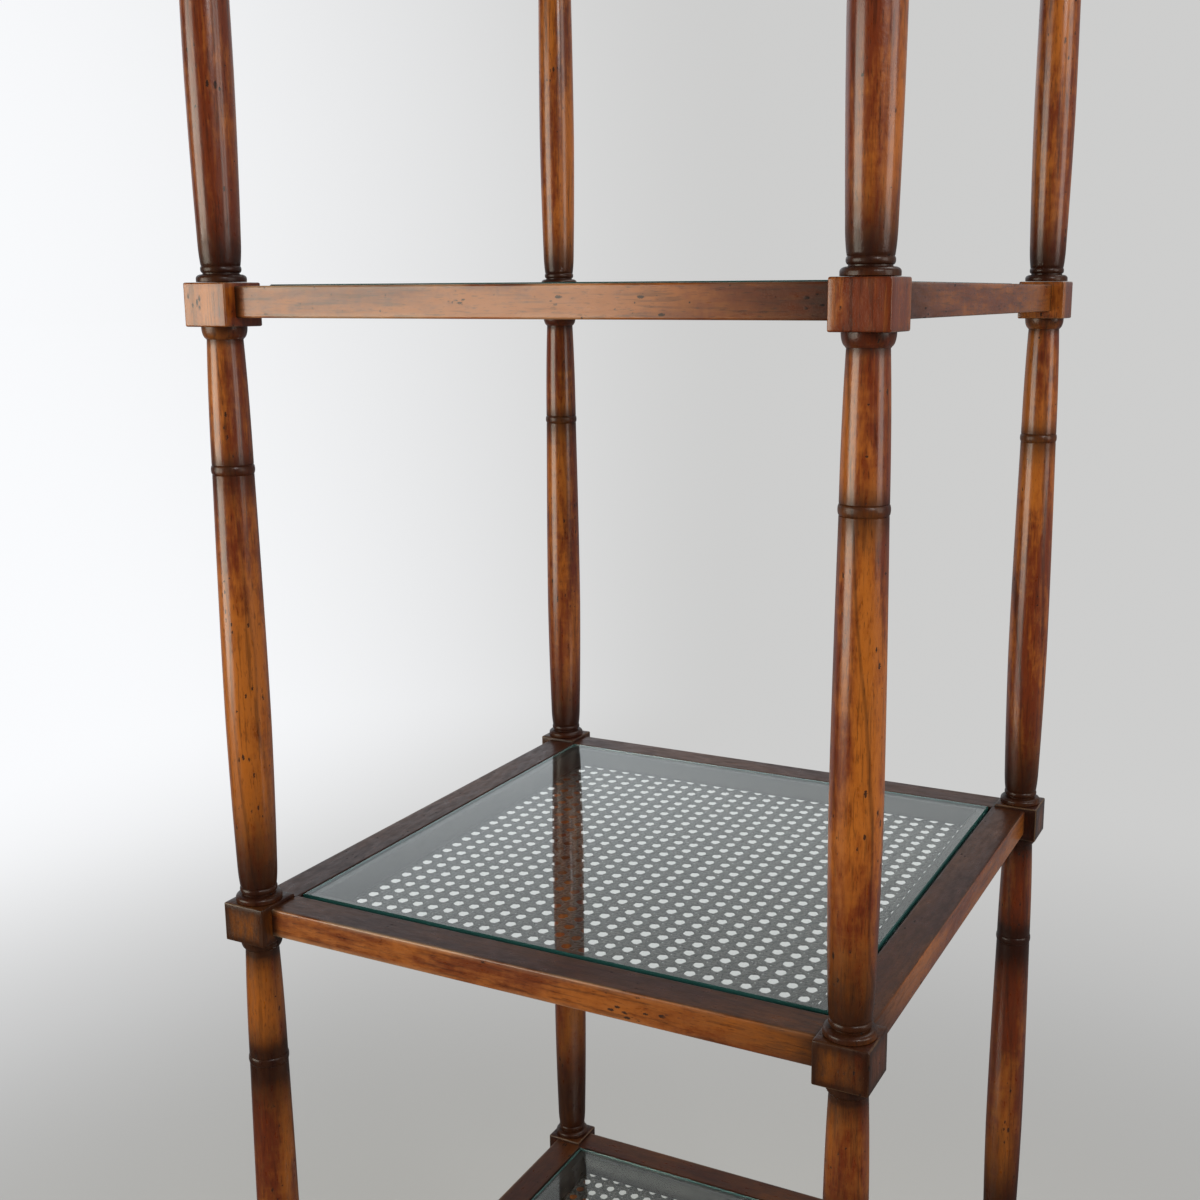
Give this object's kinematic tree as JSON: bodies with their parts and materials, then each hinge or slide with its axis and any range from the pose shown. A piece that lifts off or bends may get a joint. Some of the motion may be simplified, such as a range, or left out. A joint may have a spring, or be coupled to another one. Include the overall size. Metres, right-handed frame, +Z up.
{
  "type": "etagere",
  "caption": "Tall square open etagere: turned mahogany posts with beads and square blocks, mitred rails, and cane shelves under loose glass panes.",
  "frame": {"origin": "on the floor at the middle of the four feet", "axes": "+Z up, -Y the front, +X to the right seen from the front"},
  "size_m": [0.458, 0.458, 1.8532],
  "materials": {
    "mahogany": "reddish brown stain under satin-gloss lacquer",
    "dark_mahogany": "dark stain under satin lacquer",
    "cane": "black-stained woven cane",
    "glass": "clear float glass with polished green edges"
  },
  "bodies": {
    "stand": {"foot_front_left": "mahogany", "post_section_1_front_left": "mahogany", "post_section_2_front_left": "mahogany", "post_section_3_front_left": "mahogany", "post_section_4_front_left": "mahogany", "finial_front_left": "mahogany", "foot_front_right": "mahogany", "post_section_1_front_right": "mahogany", "post_section_2_front_right": "mahogany", "post_section_3_front_right": "mahogany", "post_section_4_front_right": "mahogany", "finial_front_right": "mahogany", "foot_back_right": "mahogany", "post_section_1_back_right": "mahogany", "post_section_2_back_right": "mahogany", "post_section_3_back_right": "mahogany", "post_section_4_back_right": "mahogany", "finial_back_right": "mahogany", "foot_back_left": "mahogany", "post_section_1_back_left": "mahogany", "post_section_2_back_left": "mahogany", "post_section_3_back_left": "mahogany", "post_section_4_back_left": "mahogany", "finial_back_left": "mahogany", "rail_1_front": "mahogany", "rail_1_right": "mahogany", "rail_1_back": "mahogany", "rail_1_left": "mahogany", "cane_frame_1": "dark_mahogany", "cane_panel_1": "cane", "rail_2_front": "mahogany", "rail_2_right": "mahogany", "rail_2_back": "mahogany", "rail_2_left": "mahogany", "cane_frame_2": "dark_mahogany", "cane_panel_2": "cane", "rail_3_front": "mahogany", "rail_3_right": "mahogany", "rail_3_back": "mahogany", "rail_3_left": "mahogany", "cane_frame_3": "dark_mahogany", "cane_panel_3": "cane", "rail_4_front": "mahogany", "rail_4_right": "mahogany", "rail_4_back": "mahogany", "rail_4_left": "mahogany", "cane_frame_4": "dark_mahogany", "cane_panel_4": "cane", "rail_5_front": "mahogany", "rail_5_right": "mahogany", "rail_5_back": "mahogany", "rail_5_left": "mahogany", "cane_frame_5": "dark_mahogany", "cane_panel_5": "cane"},
    "glass_pane_1": {"glass_1": "glass"},
    "glass_pane_2": {"glass_2": "glass"},
    "glass_pane_3": {"glass_3": "glass"},
    "glass_pane_4": {"glass_4": "glass"},
    "glass_pane_5": {"glass_5": "glass"}
  },
  "joints": [
    {"name": "glass_1_lift", "type": "slide", "parent": "stand", "child": "glass_pane_1", "axis": [0, 0, 1], "range_m": [0, 0.38]},
    {"name": "glass_2_lift", "type": "slide", "parent": "stand", "child": "glass_pane_2", "axis": [0, 0, 1], "range_m": [0, 0.38]},
    {"name": "glass_3_lift", "type": "slide", "parent": "stand", "child": "glass_pane_3", "axis": [0, 0, 1], "range_m": [0, 0.38]},
    {"name": "glass_4_lift", "type": "slide", "parent": "stand", "child": "glass_pane_4", "axis": [0, 0, 1], "range_m": [0, 0.38]},
    {"name": "glass_5_lift", "type": "slide", "parent": "stand", "child": "glass_pane_5", "axis": [0, 0, 1], "range_m": [0, 0.38]}
  ]
}
